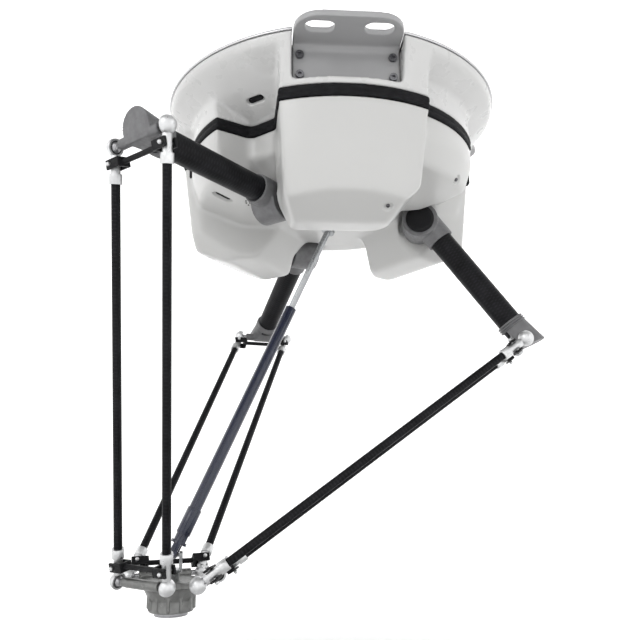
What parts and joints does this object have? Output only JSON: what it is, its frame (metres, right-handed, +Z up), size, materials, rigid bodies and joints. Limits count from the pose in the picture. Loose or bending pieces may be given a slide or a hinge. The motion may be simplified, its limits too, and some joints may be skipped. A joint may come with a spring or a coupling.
{
  "type": "delta robot",
  "caption": "Ceiling-hung delta robot with arms, ball-jointed rod pairs, a telescopic shaft and a turning tool flange.",
  "frame": {"origin": "the robot's own axis, in the plane where the undersides of its feet seat on the ceiling frame", "axes": "+Z up along the robot's axis; -Y towards the front foot"},
  "size_m": [0.8896, 0.9945, 1.0868],
  "materials": {
    "cast_white": "gloss",
    "cover_white": "satin",
    "seal_black": "matte",
    "lid_steel": "satin",
    "bracket_grey": "satin",
    "screw_steel": "satin",
    "core_aluminium": "satin",
    "motor_black": "satin",
    "joint_steel": "satin",
    "shaft_navy": "gloss",
    "casting_grey": "satin",
    "cap_black": "matte",
    "carbon": "matte",
    "ball_steel": "polished",
    "liner_plastic": "matte",
    "rod_end_bright": "satin",
    "bar_black": "matte",
    "platform_cast": "satin",
    "spindle_steel": "satin"
  },
  "bodies": {
    "base": {"base_frame": "cast_white", "top_lid": "lid_steel", "seal_band": "seal_black", "lower_cover": "cover_white", "foot_front": "bracket_grey", "foot_right": "bracket_grey", "foot_left": "bracket_grey", "foot_screws": "screw_steel", "cover_screws": "screw_steel", "core_frame": "core_aluminium", "gearboxes": "core_aluminium", "motors": "motor_black", "wrist_motor": "motor_black", "upper_yoke": "joint_steel"},
    "arm_c": {"hub_c": "casting_grey", "hub_cap_c": "cap_black", "arm_tube_c": "carbon", "elbow_c": "casting_grey", "elbow_balls_c": "ball_steel"},
    "upper_liners_c": {"elbow_liners_c": "liner_plastic"},
    "rod_c1": {"rod_tube_c1": "carbon", "rod_ends_c1": "rod_end_bright"},
    "rod_c2": {"rod_tube_c2": "carbon", "rod_ends_c2": "rod_end_bright"},
    "upper_bar_c": {"upper_bar_c": "bar_black"},
    "lower_bar_c": {"lower_bar_c": "bar_black"},
    "arm_a": {"hub_a": "casting_grey", "hub_cap_a": "cap_black", "arm_tube_a": "carbon", "elbow_a": "casting_grey", "elbow_balls_a": "ball_steel"},
    "upper_liners_a": {"elbow_liners_a": "liner_plastic"},
    "rod_a1": {"rod_tube_a1": "carbon", "rod_ends_a1": "rod_end_bright"},
    "rod_a2": {"rod_tube_a2": "carbon", "rod_ends_a2": "rod_end_bright"},
    "upper_bar_a": {"upper_bar_a": "bar_black"},
    "lower_bar_a": {"lower_bar_a": "bar_black"},
    "arm_b": {"hub_b": "casting_grey", "hub_cap_b": "cap_black", "arm_tube_b": "carbon", "elbow_b": "casting_grey", "elbow_balls_b": "ball_steel"},
    "upper_liners_b": {"elbow_liners_b": "liner_plastic"},
    "rod_b1": {"rod_tube_b1": "carbon", "rod_ends_b1": "rod_end_bright"},
    "rod_b2": {"rod_tube_b2": "carbon", "rod_ends_b2": "rod_end_bright"},
    "upper_bar_b": {"upper_bar_b": "bar_black"},
    "lower_bar_b": {"lower_bar_b": "bar_black"},
    "lower_liners_c": {"lower_liners_c": "liner_plastic"},
    "platform": {"platform": "platform_cast", "platform_balls": "ball_steel", "spindle_bearing": "spindle_steel", "lower_yoke": "joint_steel"},
    "tool": {"tool_flange": "spindle_steel"},
    "upper_cross": {"upper_cross": "joint_steel"},
    "sliding_rod": {"sliding_rod": "joint_steel"},
    "outer_tube": {"outer_tube": "shaft_navy"},
    "lower_cross": {"lower_cross": "joint_steel"}
  },
  "joints": [
    {"name": "arm_c_hinge", "type": "hinge", "parent": "base", "child": "arm_c", "pos_m": [-0.0618, 0.19021, -0.26], "axis": [-0.9511, -0.309, 0], "range_deg": [-5.59, 16.78]},
    {"name": "elbow_c_pitch", "type": "hinge", "parent": "arm_c", "child": "upper_liners_c", "pos_m": [-0.15688, 0.48282, -0.42685], "axis": [-0.9511, -0.309, 0], "range_deg": [-8.49, 2.84]},
    {"name": "rod_c1_swing", "type": "hinge", "parent": "upper_liners_c", "child": "rod_c1", "pos_m": [-0.09173, 0.50399, -0.42685], "axis": [-0.2474, 0.7614, -0.5992], "range_deg": [-8.9, 2.98]},
    {"name": "rod_c2_swing", "type": "hinge", "parent": "upper_liners_c", "child": "rod_c2", "pos_m": [-0.22203, 0.46165, -0.42685], "axis": [-0.2474, 0.7614, -0.5992], "range_deg": [-8.9, 2.98]},
    {"name": "upper_bar_c_turn", "type": "hinge", "parent": "rod_c1", "child": "upper_bar_c", "pos_m": [-0.09894, 0.48457, -0.44855], "axis": [-0.2474, 0.7614, -0.5992], "range_deg": [-2.98, 8.9]},
    {"name": "lower_bar_c_turn", "type": "hinge", "parent": "rod_c1", "child": "lower_bar_c", "pos_m": [-0.27689, 0.00556, -0.9838], "axis": [-0.2474, 0.7614, -0.5992], "range_deg": [-2.98, 8.9]},
    {"name": "arm_a_hinge", "type": "hinge", "parent": "base", "child": "arm_a", "pos_m": [-0.13383, -0.14863, -0.26], "axis": [0.7431, -0.6691, 0], "range_deg": [-1.59, 4.72]},
    {"name": "elbow_a_pitch", "type": "hinge", "parent": "arm_a", "child": "upper_liners_a", "pos_m": [-0.36784, -0.40852, -0.2461], "axis": [0.7431, -0.6691, 0], "range_deg": [-4.06, 1.37]},
    {"name": "rod_a1_swing", "type": "hinge", "parent": "upper_liners_a", "child": "rod_a1", "pos_m": [-0.41874, -0.36269, -0.2461], "axis": [-0.6507, -0.7227, -0.2331], "range_deg": [-4.95, 14.82]},
    {"name": "rod_a2_swing", "type": "hinge", "parent": "upper_liners_a", "child": "rod_a2", "pos_m": [-0.31693, -0.45436, -0.2461], "axis": [-0.6507, -0.7227, -0.2331], "range_deg": [-4.95, 14.82]},
    {"name": "upper_bar_a_turn", "type": "hinge", "parent": "rod_a1", "child": "upper_bar_a", "pos_m": [-0.41902, -0.35326, -0.27458], "axis": [-0.6507, -0.7227, -0.2331], "range_deg": [-14.82, 4.95]},
    {"name": "lower_bar_a_turn", "type": "hinge", "parent": "rod_a1", "child": "lower_bar_a", "pos_m": [-0.42581, -0.1206, -0.97702], "axis": [-0.6507, -0.7227, -0.2331], "range_deg": [-14.82, 4.95]},
    {"name": "arm_b_hinge", "type": "hinge", "parent": "base", "child": "arm_b", "pos_m": [0.19563, -0.04158, -0.26], "axis": [0.2079, 0.9781, 0], "range_deg": [-13.77, 4.6]},
    {"name": "elbow_b_pitch", "type": "hinge", "parent": "arm_b", "child": "upper_liners_b", "pos_m": [0.3959, -0.08415, -0.54387], "axis": [0.2079, 0.9781, 0], "range_deg": [-0.66, 1.94]},
    {"name": "rod_b1_swing", "type": "hinge", "parent": "upper_liners_b", "child": "rod_b1", "pos_m": [0.38166, -0.15115, -0.54387], "axis": [0.5775, -0.1228, -0.8071], "range_deg": [-6.65, 2.23]},
    {"name": "rod_b2_swing", "type": "hinge", "parent": "upper_liners_b", "child": "rod_b2", "pos_m": [0.41014, -0.01715, -0.54387], "axis": [0.5775, -0.1228, -0.8071], "range_deg": [-6.65, 2.23]},
    {"name": "upper_bar_b_turn", "type": "hinge", "parent": "rod_b1", "child": "upper_bar_b", "pos_m": [0.35719, -0.15244, -0.56118], "axis": [0.5775, -0.1228, -0.8071], "range_deg": [-2.23, 6.65]},
    {"name": "lower_bar_b_turn", "type": "hinge", "parent": "rod_b1", "child": "lower_bar_b", "pos_m": [-0.24635, -0.18419, -0.98819], "axis": [0.5775, -0.1228, -0.8071], "range_deg": [-2.23, 6.65]},
    {"name": "lower_liners_c_swing", "type": "hinge", "parent": "rod_c1", "child": "lower_liners_c", "pos_m": [-0.2841, -0.01386, -1.0055], "axis": [-0.2474, 0.7614, -0.5992], "range_deg": [-2.98, 8.9]},
    {"name": "platform_pitch", "type": "hinge", "parent": "lower_liners_c", "child": "platform", "pos_m": [-0.34925, -0.03502, -1.0055], "axis": [-0.9511, -0.309, 0], "range_deg": [-8.33, 2.79]},
    {"name": "tool_spin", "type": "hinge", "parent": "platform", "child": "tool", "pos_m": [-0.327, -0.1035, -1.0055], "axis": [0, 0, 1], "continuous": true},
    {"name": "shaft_tilt_x", "type": "hinge", "parent": "base", "child": "upper_cross", "pos_m": [0, 0, -0.245], "axis": [1, 0, 0], "range_deg": [-8.71, 2.92]},
    {"name": "shaft_tilt_y", "type": "hinge", "parent": "upper_cross", "child": "sliding_rod", "pos_m": [0, 0, -0.245], "axis": [0, 0.9897, -0.143], "range_deg": [-12.77, 4.27]},
    {"name": "shaft_slide", "type": "slide", "parent": "sliding_rod", "child": "outer_tube", "axis": [-0.4117, -0.1303, -0.902], "range_m": [-0.00625, 0.01872]},
    {"name": "lower_cross_turn", "type": "hinge", "parent": "outer_tube", "child": "lower_cross", "pos_m": [-0.327, -0.1035, -0.9615], "axis": [0, 0.9897, -0.143], "range_deg": [-4.27, 12.77]}
  ],
  "couplings": [
    {"joint": "elbow_c_pitch", "follows": "arm_c_hinge", "ratio": -0.50472},
    {"joint": "rod_c1_swing", "follows": "arm_c_hinge", "ratio": -0.52938},
    {"joint": "rod_c2_swing", "follows": "arm_c_hinge", "ratio": -0.52938},
    {"joint": "upper_bar_c_turn", "follows": "arm_c_hinge", "ratio": 0.52938},
    {"joint": "lower_bar_c_turn", "follows": "arm_c_hinge", "ratio": 0.52938},
    {"joint": "arm_a_hinge", "follows": "arm_c_hinge", "ratio": 0.28023},
    {"joint": "elbow_a_pitch", "follows": "arm_c_hinge", "ratio": -0.24071},
    {"joint": "rod_a1_swing", "follows": "arm_c_hinge", "ratio": 0.88192},
    {"joint": "rod_a2_swing", "follows": "arm_c_hinge", "ratio": 0.88192},
    {"joint": "upper_bar_a_turn", "follows": "arm_c_hinge", "ratio": -0.88192},
    {"joint": "lower_bar_a_turn", "follows": "arm_c_hinge", "ratio": -0.88192},
    {"joint": "arm_b_hinge", "follows": "arm_c_hinge", "ratio": -0.81961},
    {"joint": "elbow_b_pitch", "follows": "arm_c_hinge", "ratio": 0.11439},
    {"joint": "rod_b1_swing", "follows": "arm_c_hinge", "ratio": -0.39499},
    {"joint": "rod_b2_swing", "follows": "arm_c_hinge", "ratio": -0.39499},
    {"joint": "upper_bar_b_turn", "follows": "arm_c_hinge", "ratio": 0.39499},
    {"joint": "lower_bar_b_turn", "follows": "arm_c_hinge", "ratio": 0.39499},
    {"joint": "lower_liners_c_swing", "follows": "arm_c_hinge", "ratio": 0.52938},
    {"joint": "platform_pitch", "follows": "arm_c_hinge", "ratio": -0.49528},
    {"joint": "shaft_tilt_x", "follows": "arm_c_hinge", "ratio": -0.51802},
    {"joint": "shaft_tilt_y", "follows": "arm_c_hinge", "ratio": -0.75954},
    {"joint": "shaft_slide", "follows": "arm_c_hinge", "m_per_rad": 0.063881},
    {"joint": "lower_cross_turn", "follows": "arm_c_hinge", "ratio": 0.75954}
  ]
}
